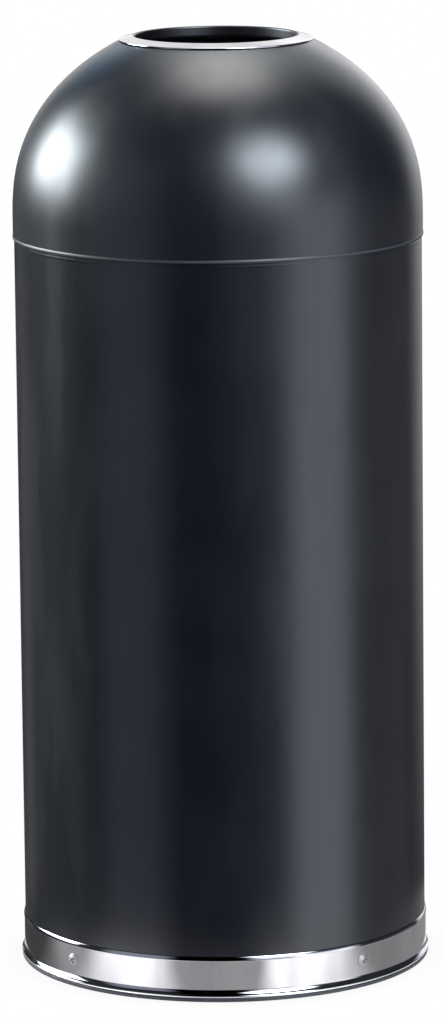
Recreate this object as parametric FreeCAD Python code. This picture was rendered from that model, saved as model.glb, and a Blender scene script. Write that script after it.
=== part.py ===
import FreeCAD
import Part

import math
import os

# Open dome-top trash can. A painted steel body stands on a chromed base ring, a galvanised liner
# hangs by its rim from the body's rolled edge, and a dome with a chromed mouth ring lifts off.
# Millimetres, +Z up, front towards -Y. The origin is on the floor, on the can's axis.

Vector = FreeCAD.Vector

# Overall sizes
BODY_DIAMETER = 381.0
TOTAL_HEIGHT = 876.3
SEAM_HEIGHT = 688.8  # lower edge of the dome above the floor

# Body shell: one rolled sheet, lap welded down the back
BODY_SHEET = 0.8
NECK_HEIGHT = 11.2  # the shell reaches this far up inside the dome
CURL_RADIUS = 3.2  # outside of the rolled top edge
CURL_TURN = 270.0  # degrees that the edge is rolled through
STOP_BEAD_PROUD = 0.2
STOP_BEAD_HEIGHT = 3.4
STOP_BEAD_GAP = 1.4  # dark line between the dome's edge and the bead
LAP_WIDTH = 14.0
WELD_GROOVE_WIDTH = 0.8
WELD_GROOVE_DEPTH = 0.3

# Floor ring: soft vinyl under the edges of the shell and the base ring
FLOOR_RING_HEIGHT = 3.5
FLOOR_RING_EDGE_RADIUS = 1.0
FLOOR_RING_INSET = 0.4  # behind the chromed lip
UPSTAND_HEIGHT = 3.5
UPSTAND_WIDTH = 2.6
UPSTAND_CLEARANCE = 0.2
FLOOR_SEAT_GAP = 0.2

# Base ring: chromed band with a rolled top bead and a flared foot
BAND_SHEET = 0.9
BAND_CLEARANCE = 0.05
BAND_HEIGHT = 26.6  # the straight part
BAND_BEAD_HEIGHT = 4.4
BAND_BEAD_PROUD = 0.5
COVE_RADIUS = 8.0
COVE_TURN = 45.0  # degrees that the foot flares through
LIP_RADIUS = 1.3

# Bottom pan: pressed sheet, its flange turned down behind the base ring
PAN_SHEET = 0.8
PAN_ABOVE_SCREWS = 9.2
PAN_BEND_RADIUS = 4.0
PAN_CLEARANCE = 0.1
PAN_EDGE_GAP = 1.8  # flange's edge above the floor ring

# Base ring fasteners: truss-head screws with washers and nuts behind the pan's flange
SCREW_COUNT = 4
SCREW_FIRST_ANGLE = 45.0
SCREW_RADIUS = 2.0
SCREW_HOLE_CLEARANCE = 0.3
SCREW_HEAD_RADIUS = 6.2
SCREW_HEAD_HEIGHT = 2.6
SCREW_TIP = 1.2  # beyond the nut
RECESS_LENGTH = 6.0
RECESS_WIDTH = 1.3
RECESS_DEPTH = 1.6
WASHER_RADIUS = 4.5
WASHER_THICKNESS = 0.8
NUT_SIDES = 6
NUT_ACROSS_FLATS = 7.0
NUT_THICKNESS = 3.2
FASTENER_GAP = 0.05

# Liner: galvanised pail with a wired rim
LINER_SHEET = 0.6
LINER_CLEARANCE = 0.7  # inside the body's curl
LINER_TAPER = 11.4  # radius lost from rim to bottom
LINER_ABOVE_PAN = 5.0
LINER_ROLL_RADIUS = 3.2
LINER_ROLL_TURN = 270.0  # degrees that the rim is rolled through
LINER_WIRE_CLEARANCE = 0.5
LINER_FLOOR_RECESS = 7.0  # floor above the wall's bottom edge
LINER_FLOOR_CLEARANCE = 0.15
REST_GAP = 0.3  # between pieces that rest on each other and lift apart

# Drop handles inside the liner
HANDLE_WIRE = 5.0
HANDLE_WIDTH = 84.0
HANDLE_DROP = 58.0
HANDLE_BEND = 16.0  # to the middle of the wire
HANDLE_DEPTH = 46.0  # pivot below the top of the rim
HANDLE_WALL_GAP = 1.5
HANDLE_RUNNING_CLEARANCE = 0.08
CLIP_SHEET = 1.2
CLIP_WIDTH = 26.0
CLIP_HEIGHT = 24.0
CLIP_SEAT_GAP = 0.1
RIVET_SPACING = 15.0
RIVET_RADIUS = 2.0
RIVET_HOLE_CLEARANCE = 0.1
RIVET_HEAD_RADIUS = 3.4
RIVET_HEAD_HEIGHT = 1.6
RIVET_TAIL_RADIUS = 3.0
RIVET_TAIL_HEIGHT = 0.5

# Dome: spun from sheet, with a rolled hem
DOME_SHEET = 0.8
SKIRT_CLEARANCE = 0.3  # around the body's neck
HEM_HEIGHT = 3.4
HEM_PROUD = 0.5

# Stop ring: spot welded inside the dome's skirt, rests on the liner's rim
STOP_RING_SHEET = 0.8
STOP_RING_HEIGHT = 13.6
STOP_RING_REACH = 2.0  # inside the middle of the liner's roll
STOP_RING_WELD_GAP = 0.2

# Mouth ring: chromed, rolled through the dome's opening like an eyelet
MOUTH_RADIUS = 75.5
RING_SHEET = 1.0
RING_FLANGE_WIDTH = 14.8
RING_FLANGE_DROP = 3.2
RING_LIP_RADIUS = 1.6
RING_EDGE_RADIUS = 0.7
RING_COLLAR_LENGTH = 12.0
RING_CURL_RADIUS = 3.7
RING_SEAT_INSET = 1.3  # dome's flat seat starts this far inside the ring's edge
RING_SEAT_DROP = 4.4  # seat below the top of the can
RING_SEAT_SLOPE = 12.0  # degrees
RING_SEAT_GAP = 0.25
OPENING_CLEARANCE = 2.5  # dome's hole around the ring's collar

# Places that follow from the sizes
body_radius = BODY_DIAMETER / 2
shell_inner = body_radius - BODY_SHEET
shell_bottom = FLOOR_RING_HEIGHT + FLOOR_SEAT_GAP
shell_top = SEAM_HEIGHT + NECK_HEIGHT
curl_center = (body_radius - CURL_RADIUS, shell_top - CURL_RADIUS)
bead_top = SEAM_HEIGHT - STOP_BEAD_GAP
bead_bottom = bead_top - STOP_BEAD_HEIGHT

band_inner = body_radius + BAND_CLEARANCE
band_outer = band_inner + BAND_SHEET
flare = math.radians(COVE_TURN)
foot_radius = band_outer + COVE_RADIUS * (1 - math.cos(flare)) + LIP_RADIUS * (1 - math.cos(flare))
lip_center = (foot_radius - LIP_RADIUS, shell_bottom + LIP_RADIUS)
band_bottom = lip_center[1] + (LIP_RADIUS + COVE_RADIUS) * math.sin(flare)
band_top = band_bottom + BAND_HEIGHT
base_ring_top = band_top + BAND_BEAD_HEIGHT
screw_height = (band_bottom + band_top) / 2

upstand_top = FLOOR_RING_HEIGHT + UPSTAND_HEIGHT
pan_outer = shell_inner - PAN_CLEARANCE
pan_inner = pan_outer - PAN_SHEET
pan_floor = screw_height + PAN_ABOVE_SCREWS
pan_top = pan_floor + PAN_SHEET

liner_outer = body_radius - 2 * CURL_RADIUS - LINER_CLEARANCE
liner_inner = liner_outer - LINER_SHEET
roll_radius = liner_inner + LINER_ROLL_RADIUS
roll_reach = CURL_RADIUS + REST_GAP + LINER_ROLL_RADIUS
roll_height = curl_center[1] + math.sqrt(roll_reach**2 - (roll_radius - curl_center[0]) ** 2)
roll_center = (roll_radius, roll_height)
rim_top = roll_height + LINER_ROLL_RADIUS
liner_bottom = pan_top + LINER_ABOVE_PAN

skirt_inner = body_radius + SKIRT_CLEARANCE
dome_radius = skirt_inner + DOME_SHEET
dome_center = rim_top + REST_GAP + STOP_RING_HEIGHT
ring_outer = MOUTH_RADIUS + RING_FLANGE_WIDTH
opening_radius = MOUTH_RADIUS + RING_SHEET + OPENING_CLEARANCE
seat_radius = ring_outer - RING_SEAT_INSET
seat_height = TOTAL_HEIGHT - RING_SEAT_DROP
seat_slope = math.tan(math.radians(RING_SEAT_SLOPE))
dome_rise = (seat_height - dome_center) / math.sqrt(1 - (seat_radius / dome_radius) ** 2)


def dome_height(radius):
    """Height of the dome's outside, a quarter of an ellipse from the skirt to the ring's seat."""
    return dome_center + dome_rise * math.sqrt(1 - (radius / dome_radius) ** 2)


def dome_inside(radius):
    """Height of the dome's inside: the same ellipse, one sheet smaller."""
    return dome_center + (dome_rise - DOME_SHEET) * math.sqrt(1 - (radius / skirt_inner) ** 2)


def liner_inside(height):
    """Inside radius of the liner's tapered wall."""
    return liner_inner - LINER_TAPER * (roll_height - height) / (roll_height - liner_bottom)


handle_pivot = rim_top - HANDLE_DEPTH
handle_low = handle_pivot - HANDLE_DROP
handle_chord = math.sqrt(liner_inside(handle_low) ** 2 - (HANDLE_WIDTH / 2) ** 2)
handle_x = handle_chord - HANDLE_WALL_GAP - HANDLE_WIRE / 2
knuckle_bore = HANDLE_WIRE / 2 + HANDLE_RUNNING_CLEARANCE
clip_bottom = handle_pivot + knuckle_bore
clip_top = clip_bottom + CLIP_HEIGHT
rivet_height = (clip_bottom + CLIP_SHEET + clip_top) / 2
rivet_wall = liner_inside(rivet_height)
rivet_turn = math.degrees(math.asin(RIVET_SPACING / 2 / rivet_wall))


def on_circle(center, radius, degrees):
    turn = math.radians(degrees)
    return (center[0] + radius * math.cos(turn), center[1] + radius * math.sin(turn))


def line(start, end):
    """Straight edge of a profile, between points given as radius and height."""
    return Part.LineSegment(Vector(start[0], 0, start[1]), Vector(end[0], 0, end[1])).toShape()


def outline(*points):
    """Straight edges through the points in turn."""
    return [line(a, b) for a, b in zip(points, points[1:])]


def bulge(start, crest, end):
    """Arc through three profile points."""
    stops = [Vector(radius, 0, height) for radius, height in (start, crest, end)]
    return Part.Arc(*stops).toShape()


def bend(center, radius, first, last):
    """Arc about a center, from one angle to another in degrees."""
    middle = (first + last) / 2
    return bulge(*[on_circle(center, radius, turn) for turn in (first, middle, last)])


def spun(edges):
    """Solid of revolution about Z from a closed profile."""
    face = Part.Face(Part.Wire(Part.__sortEdges__(edges)))
    return face.revolve(Vector(0, 0, 0), Vector(0, 0, 1), 360)


def along_radius(shape):
    """Lays a shape that stands on +Z along +X, the radius that it is fixed on."""
    return shape.rotated(Vector(0, 0, 0), Vector(0, 1, 0), 90)


def placed(shape, height, turn):
    """Copy of a shape on the +X radius, raised and turned about the can's axis."""
    return shape.translated(Vector(0, 0, height)).rotated(Vector(0, 0, 0), Vector(0, 0, 1), turn)


def at_screws(shape):
    """Copies of a shape at every screw of the base ring."""
    turns = [SCREW_FIRST_ANGLE + 360 * i / SCREW_COUNT for i in range(SCREW_COUNT)]
    return Part.makeCompound([placed(shape, screw_height, turn) for turn in turns])


def at_rivets(shape, sides):
    """Copies of a shape at both rivets of the clips on the given sides, in degrees about Z."""
    turns = [side + offset for side in sides for offset in (-rivet_turn, rivet_turn)]
    return Part.makeCompound([placed(shape, rivet_height, turn) for turn in turns])


def radial_drill(radius):
    return along_radius(Part.makeCylinder(radius, BODY_DIAMETER))


def screw_drilled(solid):
    return solid.cut(at_screws(radial_drill(SCREW_RADIUS + SCREW_HOLE_CLEARANCE)))


def rivet_drilled(solid, sides):
    return solid.cut(at_rivets(radial_drill(RIVET_RADIUS + RIVET_HOLE_CLEARANCE), sides))


def domed_head(radius, height):
    """Cap of a sphere that stands on the plane at zero."""
    ball = (radius**2 + height**2) / (2 * height)
    sphere = Part.makeSphere(ball, Vector(0, 0, height - ball))
    return sphere.common(Part.makeCylinder(radius, height))


def make_body_shell():
    def wall(radius):
        """One face of the sheet, from its lower edge over the stop bead to the curl."""
        crest = (radius + STOP_BEAD_PROUD, (bead_top + bead_bottom) / 2)
        return [
            line((radius, shell_bottom), (radius, bead_bottom)),
            bulge((radius, bead_bottom), crest, (radius, bead_top)),
            line((radius, bead_top), (radius, curl_center[1])),
        ]

    inner_curl = CURL_RADIUS - BODY_SHEET
    edges = wall(body_radius) + wall(shell_inner)
    edges.append(bend(curl_center, CURL_RADIUS, 0, CURL_TURN))
    edges.append(bend(curl_center, inner_curl, 0, CURL_TURN))
    curl_edge = [on_circle(curl_center, radius, CURL_TURN) for radius in (CURL_RADIUS, inner_curl)]
    edges.append(line(*curl_edge))
    edges.append(line((shell_inner, shell_bottom), (body_radius, shell_bottom)))
    shell = spun(edges)
    lap_bottom = pan_top + BODY_SHEET
    lap_corner = Vector(-LAP_WIDTH / 2, 0, lap_bottom)
    lap = Part.makeBox(LAP_WIDTH, BODY_DIAMETER, bead_bottom - lap_bottom, lap_corner)
    lap = lap.common(spun(outline(
        (shell_inner - BODY_SHEET, lap_bottom),
        (body_radius, lap_bottom),
        (body_radius, bead_bottom),
        (shell_inner - BODY_SHEET, bead_bottom),
        (shell_inner - BODY_SHEET, lap_bottom),
    )))
    groove_corner = Vector(-WELD_GROOVE_WIDTH / 2, body_radius - WELD_GROOVE_DEPTH, base_ring_top)
    groove = Part.makeBox(WELD_GROOVE_WIDTH, BODY_SHEET, bead_bottom - base_ring_top, groove_corner)
    return screw_drilled(shell.fuse(lap).cut(groove)).removeSplitter()


def make_floor_ring():
    outer = foot_radius - FLOOR_RING_INSET
    upstand_outer = shell_inner - UPSTAND_CLEARANCE
    inner = upstand_outer - UPSTAND_WIDTH
    low = (outer - FLOOR_RING_EDGE_RADIUS, FLOOR_RING_EDGE_RADIUS)
    high = (low[0], FLOOR_RING_HEIGHT - FLOOR_RING_EDGE_RADIUS)
    edges = outline(
        (high[0], FLOOR_RING_HEIGHT),
        (upstand_outer, FLOOR_RING_HEIGHT),
        (upstand_outer, upstand_top),
        (inner, upstand_top),
        (inner, 0),
        (low[0], 0),
    )
    edges.append(bend(low, FLOOR_RING_EDGE_RADIUS, -90, 0))
    edges.append(line((outer, low[1]), (outer, high[1])))
    edges.append(bend(high, FLOOR_RING_EDGE_RADIUS, 0, 90))
    return spun(edges)


def make_base_ring():
    cove_center = (band_outer + COVE_RADIUS, band_bottom)
    bead_crest = (band_outer + BAND_BEAD_PROUD, band_top + BAND_BEAD_HEIGHT / 2)
    band = spun(
        [
            line((band_inner, shell_bottom), (lip_center[0], shell_bottom)),
            bend(lip_center, LIP_RADIUS, -90, COVE_TURN),
            bend(cove_center, COVE_RADIUS, 180 + COVE_TURN, 180),
            line((band_outer, band_bottom), (band_outer, band_top)),
            bulge((band_outer, band_top), bead_crest, (band_inner, base_ring_top)),
            line((band_inner, base_ring_top), (band_inner, shell_bottom)),
        ]
    )
    return screw_drilled(band)


def make_bottom_pan():
    bend_center = (pan_outer - PAN_BEND_RADIUS, pan_top - PAN_BEND_RADIUS)
    flange_bottom = upstand_top + PAN_EDGE_GAP
    pan = spun(
        [
            line((0, pan_floor), (0, pan_top)),
            line((0, pan_top), (bend_center[0], pan_top)),
            bend(bend_center, PAN_BEND_RADIUS, 90, 0),
            line((pan_outer, bend_center[1]), (pan_outer, flange_bottom)),
            line((pan_outer, flange_bottom), (pan_inner, flange_bottom)),
            line((pan_inner, flange_bottom), (pan_inner, bend_center[1])),
            bend(bend_center, PAN_BEND_RADIUS - PAN_SHEET, 0, 90),
            line((bend_center[0], pan_floor), (0, pan_floor)),
        ]
    )
    return screw_drilled(pan)


# Flat washers meet the pan's flange at their edges, so they sit in by the flange's sag there
washer_seat = pan_inner - FASTENER_GAP - WASHER_RADIUS**2 / (2 * pan_inner)
nut_seat = washer_seat - WASHER_THICKNESS - FASTENER_GAP
screw_end = nut_seat - NUT_THICKNESS - SCREW_TIP


def make_base_screws():
    head_seat = band_outer + FASTENER_GAP
    shank = head_seat - screw_end
    screw = domed_head(SCREW_HEAD_RADIUS, SCREW_HEAD_HEIGHT)
    screw = screw.fuse(Part.makeCylinder(SCREW_RADIUS, shank, Vector(0, 0, -shank)))
    for length, width in ((RECESS_LENGTH, RECESS_WIDTH), (RECESS_WIDTH, RECESS_LENGTH)):
        corner = Vector(-length / 2, -width / 2, SCREW_HEAD_HEIGHT - RECESS_DEPTH)
        screw = screw.cut(Part.makeBox(length, width, SCREW_HEAD_HEIGHT, corner))
    return at_screws(along_radius(screw).translated(Vector(head_seat, 0, 0)))


def make_base_washers():
    washer = Part.makeCylinder(WASHER_RADIUS, WASHER_THICKNESS)
    washer = washer.cut(Part.makeCylinder(SCREW_RADIUS + SCREW_HOLE_CLEARANCE, WASHER_THICKNESS))
    return at_screws(along_radius(washer).translated(Vector(washer_seat - WASHER_THICKNESS, 0, 0)))


def make_base_nuts():
    corner = NUT_ACROSS_FLATS / 2 / math.cos(math.pi / NUT_SIDES)
    corners = [Vector(*on_circle((0, 0), corner, 360 * i / NUT_SIDES), 0) for i in range(NUT_SIDES + 1)]
    nut = Part.Face(Part.makePolygon(corners)).extrude(Vector(0, 0, NUT_THICKNESS))
    nut = nut.cut(Part.makeCylinder(SCREW_RADIUS + FASTENER_GAP, NUT_THICKNESS))
    return at_screws(along_radius(nut).translated(Vector(nut_seat - NUT_THICKNESS, 0, 0)))


def make_liner_wall():
    inner_roll = LINER_ROLL_RADIUS - LINER_SHEET
    roll_end = 180 - LINER_ROLL_TURN
    roll_edge = [on_circle(roll_center, radius, roll_end) for radius in (LINER_ROLL_RADIUS, inner_roll)]
    foot = liner_inner - LINER_TAPER
    wall = spun(
        [
            line((foot, liner_bottom), (liner_inner, roll_height)),
            bend(roll_center, LINER_ROLL_RADIUS, 180, roll_end),
            line(*roll_edge),
            bend(roll_center, inner_roll, roll_end, 180),
            line((liner_outer, roll_height), (foot + LINER_SHEET, liner_bottom)),
            line((foot + LINER_SHEET, liner_bottom), (foot, liner_bottom)),
        ]
    )
    return rivet_drilled(wall, (0, 180))


def make_liner_bottom():
    """Flat floor with its flange turned down inside the foot of the wall."""
    floor = liner_bottom + LINER_FLOOR_RECESS
    high = liner_inside(floor) - LINER_FLOOR_CLEARANCE
    low = liner_inside(liner_bottom) - LINER_FLOOR_CLEARANCE
    return spun(outline(
        (0, floor - LINER_SHEET),
        (0, floor),
        (high, floor),
        (low, liner_bottom),
        (low - LINER_SHEET, liner_bottom),
        (high - LINER_SHEET, floor - LINER_SHEET),
        (0, floor - LINER_SHEET),
    ))


def make_liner_rim_wire():
    wire_radius = LINER_ROLL_RADIUS - LINER_SHEET - LINER_WIRE_CLEARANCE
    return Part.makeTorus(roll_radius, wire_radius, Vector(0, 0, roll_height))


def inside_liner(gap):
    """Solid that fills the liner beside the handles, a gap clear of its wall."""
    low = liner_inside(handle_low) - gap
    high = liner_inside(rim_top) - gap
    return Part.makeCone(low, high, rim_top - handle_low, Vector(0, 0, handle_low))


def make_handle_clip():
    """Strap on the +X side, rolled round the handle's bar and riveted flat to the liner's wall."""
    reach = liner_inner - handle_x
    corner = Vector(handle_x, -CLIP_WIDTH / 2, clip_bottom)
    axis_end = Vector(handle_x, -CLIP_WIDTH / 2, handle_pivot)
    knuckle = Part.makeCylinder(knuckle_bore + CLIP_SHEET, CLIP_WIDTH, axis_end, Vector(0, 1, 0))
    bore = Part.makeCylinder(knuckle_bore, CLIP_WIDTH, axis_end, Vector(0, 1, 0))
    web = Part.makeBox(reach, CLIP_WIDTH, CLIP_SHEET, corner)
    plate = Part.makeBox(reach, CLIP_WIDTH, CLIP_HEIGHT, corner).cut(inside_liner(CLIP_SEAT_GAP + CLIP_SHEET))
    clip = knuckle.fuse([web, plate]).common(inside_liner(CLIP_SEAT_GAP)).cut(bore)
    return rivet_drilled(clip, (0,)).removeSplitter()


def make_clip_rivets():
    """Round heads on the clips, flat tails outside the liner's wall."""
    head_seat = rivet_wall - CLIP_SEAT_GAP - CLIP_SHEET - CLIP_SEAT_GAP
    tail_seat = rivet_wall + LINER_SHEET + CLIP_SEAT_GAP
    length = tail_seat - head_seat
    head = domed_head(RIVET_HEAD_RADIUS, RIVET_HEAD_HEIGHT)
    shank = Part.makeCylinder(RIVET_RADIUS, length, Vector(0, 0, -length))
    tail = Part.makeCylinder(RIVET_TAIL_RADIUS, RIVET_TAIL_HEIGHT, Vector(0, 0, -length - RIVET_TAIL_HEIGHT))
    rivet = along_radius(head.fuse([shank, tail]).removeSplitter())
    rivet = rivet.rotated(Vector(0, 0, 0), Vector(0, 0, 1), 180).translated(Vector(head_seat, 0, 0))
    return at_rivets(rivet, (0, 180))


def make_handle():
    """Closed loop of round wire on the +X side, hanging from its straight bar."""
    radius = HANDLE_WIRE / 2
    half = HANDLE_WIDTH / 2 - radius
    low = handle_low + radius
    side_length = handle_pivot - low - 2 * HANDLE_BEND
    bar_half = half - HANDLE_BEND
    runs = []
    for height, up in ((handle_pivot, 1), (low, -1)):
        bar_end = Vector(handle_x, -bar_half, height)
        runs.append(Part.makeCylinder(radius, 2 * bar_half, bar_end, Vector(0, 1, 0)))
        for side in (-1, 1):
            bend_center = Vector(handle_x, side * bar_half, height - up * HANDLE_BEND)
            section = Part.makeCircle(radius, Vector(handle_x, side * half, bend_center.z))
            corner = Part.Face(Part.Wire(section)).revolve(bend_center, Vector(side * up, 0, 0), 90)
            runs.append(corner)
    for side in (-1, 1):
        runs.append(Part.makeCylinder(radius, side_length, Vector(handle_x, side * half, low + HANDLE_BEND)))
    return runs[0].fuse(runs[1:]).removeSplitter()


def make_dome_shell():
    def quarter(radius, rise):
        """Meridian from the top of the skirt up to the mouth ring's seat."""
        center = Vector(0, 0, dome_center)
        axes = [Vector(radius, 0, 0), Vector(0, 0, rise)]
        longest, shortest = sorted(axes, key=lambda axis: -axis.Length)
        ellipse = Part.Ellipse(center + longest, center + shortest, center)
        seat = Vector(seat_radius, 0, dome_center + rise * math.sqrt(1 - (seat_radius / radius) ** 2))
        turns = sorted(ellipse.parameter(end) for end in (center + axes[0], seat))
        return Part.ArcOfEllipse(ellipse, *turns).toShape()

    seat_rise = (seat_radius - opening_radius) * seat_slope
    under_seat = dome_inside(seat_radius)
    hem_top = SEAM_HEIGHT + HEM_HEIGHT
    hem_crest = (dome_radius + HEM_PROUD, SEAM_HEIGHT + HEM_HEIGHT / 2)
    edges = outline(
        (seat_radius, seat_height),
        (opening_radius, seat_height + seat_rise),
        (opening_radius, under_seat + seat_rise),
        (seat_radius, under_seat),
    )
    edges.append(quarter(skirt_inner, dome_rise - DOME_SHEET))
    edges += outline((skirt_inner, dome_center), (skirt_inner, SEAM_HEIGHT), (dome_radius, SEAM_HEIGHT))
    edges.append(bulge((dome_radius, SEAM_HEIGHT), hem_crest, (dome_radius, hem_top)))
    edges.append(line((dome_radius, hem_top), (dome_radius, dome_center)))
    edges.append(quarter(dome_radius, dome_rise))
    return spun(edges)


def make_dome_stop_ring():
    flange_bottom = rim_top + REST_GAP
    flange_top = flange_bottom + STOP_RING_SHEET
    flange_inner = roll_radius - STOP_RING_REACH
    leg_outer = skirt_inner - STOP_RING_WELD_GAP
    leg_inner = leg_outer - STOP_RING_SHEET
    return spun(outline(
        (flange_inner, flange_bottom),
        (leg_outer, flange_bottom),
        (leg_outer, dome_center),
        (leg_inner, dome_center),
        (leg_inner, flange_top),
        (flange_inner, flange_top),
        (flange_inner, flange_bottom),
    ))


def make_mouth_ring():
    collar_outer = MOUTH_RADIUS + RING_SHEET
    lip = (MOUTH_RADIUS + RING_LIP_RADIUS, TOTAL_HEIGHT - RING_LIP_RADIUS)
    edge_top = TOTAL_HEIGHT - RING_FLANGE_DROP
    edge = (ring_outer - RING_EDGE_RADIUS, edge_top - RING_EDGE_RADIUS)
    edge_inner = ring_outer - RING_SHEET
    edge_bottom = dome_height(edge_inner) + RING_SEAT_GAP
    slope = RING_FLANGE_DROP / (edge[0] - lip[0])
    under_edge = edge_top + slope * (edge[0] - edge_inner) - RING_SHEET * math.sqrt(1 + slope**2)
    under_collar = under_edge + slope * (edge_inner - collar_outer)
    curl = (MOUTH_RADIUS + RING_CURL_RADIUS, TOTAL_HEIGHT - RING_COLLAR_LENGTH + RING_CURL_RADIUS)
    inner_curl = RING_CURL_RADIUS - RING_SHEET
    tip_inner = curl[0] + inner_curl
    tip_outer = curl[0] + RING_CURL_RADIUS
    tip_top = dome_inside(seat_radius) + (seat_radius - tip_outer) * seat_slope - RING_SEAT_GAP
    edges = outline(
        (ring_outer, edge[1]),
        (ring_outer, edge_bottom),
        (edge_inner, edge_bottom),
        (edge_inner, under_edge),
        (collar_outer, under_collar),
        (collar_outer, curl[1]),
    )
    edges.append(bend(curl, inner_curl, 180, 360))
    edges += outline((tip_inner, curl[1]), (tip_inner, tip_top), (tip_outer, tip_top), (tip_outer, curl[1]))
    edges.append(bend(curl, RING_CURL_RADIUS, 360, 180))
    edges.append(line((MOUTH_RADIUS, curl[1]), (MOUTH_RADIUS, lip[1])))
    edges.append(bend(lip, RING_LIP_RADIUS, 180, 90))
    edges.append(line((lip[0], TOTAL_HEIGHT), (edge[0], edge_top)))
    edges.append(bend(edge, RING_EDGE_RADIUS, 90, 0))
    return spun(edges)


def opposite(shape):
    """The same piece on the other side of the can."""
    return shape.rotated(Vector(0, 0, 0), Vector(0, 0, 1), 180)


right_handle = make_handle()
right_clip = make_handle_clip()

nodes = {
    "body_shell": make_body_shell(),
    "floor_ring": make_floor_ring(),
    "base_ring": make_base_ring(),
    "bottom_pan": make_bottom_pan(),
    "base_screws": make_base_screws(),
    "base_washers": make_base_washers(),
    "base_nuts": make_base_nuts(),
    "liner_wall": make_liner_wall(),
    "liner_bottom": make_liner_bottom(),
    "liner_rim_wire": make_liner_rim_wire(),
    "handle_clip_right": right_clip,
    "handle_clip_left": opposite(right_clip),
    "clip_rivets": make_clip_rivets(),
    "handle_right": right_handle,
    "handle_left": opposite(right_handle),
    "dome_shell": make_dome_shell(),
    "dome_stop_ring": make_dome_stop_ring(),
    "mouth_ring": make_mouth_ring(),
}

os.makedirs("parts", exist_ok=True)
for name, shape in nodes.items():
    shape.exportStep(os.path.join("parts", name + ".step"))
    print(name, len(shape.Solids), shape.isValid(), round(shape.Volume / 1000, 2), "cm3")
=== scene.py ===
import math

import bmesh
import bpy
import numpy as np
from mathutils import Matrix, Vector


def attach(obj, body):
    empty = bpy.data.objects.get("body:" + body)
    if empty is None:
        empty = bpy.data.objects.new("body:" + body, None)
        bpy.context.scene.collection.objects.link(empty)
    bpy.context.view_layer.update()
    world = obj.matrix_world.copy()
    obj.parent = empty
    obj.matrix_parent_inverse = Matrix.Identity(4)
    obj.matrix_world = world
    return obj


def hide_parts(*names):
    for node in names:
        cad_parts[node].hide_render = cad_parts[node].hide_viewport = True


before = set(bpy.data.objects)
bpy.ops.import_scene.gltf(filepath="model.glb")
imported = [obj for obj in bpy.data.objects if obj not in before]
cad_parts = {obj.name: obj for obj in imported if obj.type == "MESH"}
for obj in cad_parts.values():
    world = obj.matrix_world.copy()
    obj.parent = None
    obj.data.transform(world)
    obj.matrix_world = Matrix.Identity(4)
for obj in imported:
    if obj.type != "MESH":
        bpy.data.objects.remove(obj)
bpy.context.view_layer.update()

# Floor ring. Soft black vinyl, extruded and bent into a hoop, pushed up inside the foot of the body.
# It carries the can and shows as a thin dark line under the chrome.

MM = 0.001
SAME_POINT = 0.0005
TURNS = 288
FULL_TURN = np.linspace(0, 360, TURNS, endpoint=False)

RING_INSIDE = 186.9
RING_OUTSIDE = 193.774
RING_HEIGHT = 3.5
RING_ROUND = 1.0
RING_CORNER = 0.4
UPSTAND_OUTSIDE = 189.5
UPSTAND_TOP = 7.0
UPSTAND_ROUND = 0.5
VINYL_BLACK = (0.036, 0.039, 0.047, 1)
VINYL_SCUFF = (0.075, 0.078, 0.085, 1)
VINYL_GLOSS = (0.48, 0.64)
VINYL_GRAIN = 0.00004


def arc(center, radius, first, last, count=12):
    """Points on a circle: the center plus the radius times the cosine and sine of even angles, in degrees."""
    turn = np.radians(np.linspace(first, last, count))
    return np.column_stack((center[0] + radius * np.cos(turn), center[1] + radius * np.sin(turn)))


def outline(*runs, straight_from=1.2):
    """Profile of radius and height through single points and arcs. A run that is long enough to be straight
    gets two more points, a short margin in from its ends, so that the shading stays even along it."""
    margin = 0.3
    profile = np.vstack([np.atleast_2d(run) for run in runs])
    following = np.roll(profile, -1, axis=0)
    run = following - profile
    length = np.linalg.norm(run, axis=1)
    step = run * (margin / np.maximum(length, margin))[:, None]
    points = np.stack((profile, profile + step, following - step), axis=1)
    stretched = length > straight_from
    return points[np.column_stack((np.ones_like(stretched), stretched, stretched))]


def faces_of_grid(rows, columns, closed):
    """Corner numbers of every cell of a grid whose rows join end to start, and whose columns do so too
    if closed."""
    index = np.arange(rows * columns).reshape(rows, columns)
    beside = np.roll(index, -1, axis=0)
    cells = np.stack((index, beside, np.roll(beside, -1, axis=1), np.roll(index, -1, axis=1)), axis=-1)
    return cells[:, : columns if closed else columns - 1].reshape(-1, 4)


def surface(name, points, faces, sharp=35):
    """Smooth mesh from points in millimetres, with its poles merged, its faces outwards and its true edges
    sharp."""
    mesh = bpy.data.meshes.new(name)
    mesh.from_pydata(points.reshape(-1, 3) * MM, [], faces)
    work = bmesh.new()
    work.from_mesh(mesh)
    bmesh.ops.remove_doubles(work, verts=work.verts, dist=SAME_POINT * MM)
    bmesh.ops.recalc_face_normals(work, faces=work.faces)
    work.to_mesh(mesh)
    work.free()
    mesh.shade_smooth()
    mesh.set_sharp_from_angle(angle=math.radians(sharp))
    return mesh


def turned(name, radius, height, degrees=FULL_TURN, closed=True):
    """Profile carried round the can's axis: x and y are the radius times the cosine and sine of the angle.
    The radius may be one row, or a grid that changes with the angle too."""
    turn = np.radians(degrees)[:, None]
    radius = np.broadcast_to(radius, (len(degrees), len(height)))
    points = np.stack(
        (radius * np.cos(turn), radius * np.sin(turn), np.broadcast_to(height, radius.shape)), axis=-1
    )
    return surface(name, points, faces_of_grid(*radius.shape, closed))


def add_piece(mesh, material, body, node):
    """Puts a finished mesh on its body in place of its CAD node."""
    piece = bpy.data.objects.new(mesh.name, mesh)
    bpy.context.scene.collection.objects.link(piece)
    mesh.materials.append(material)
    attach(piece, body)
    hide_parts(node)


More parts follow.
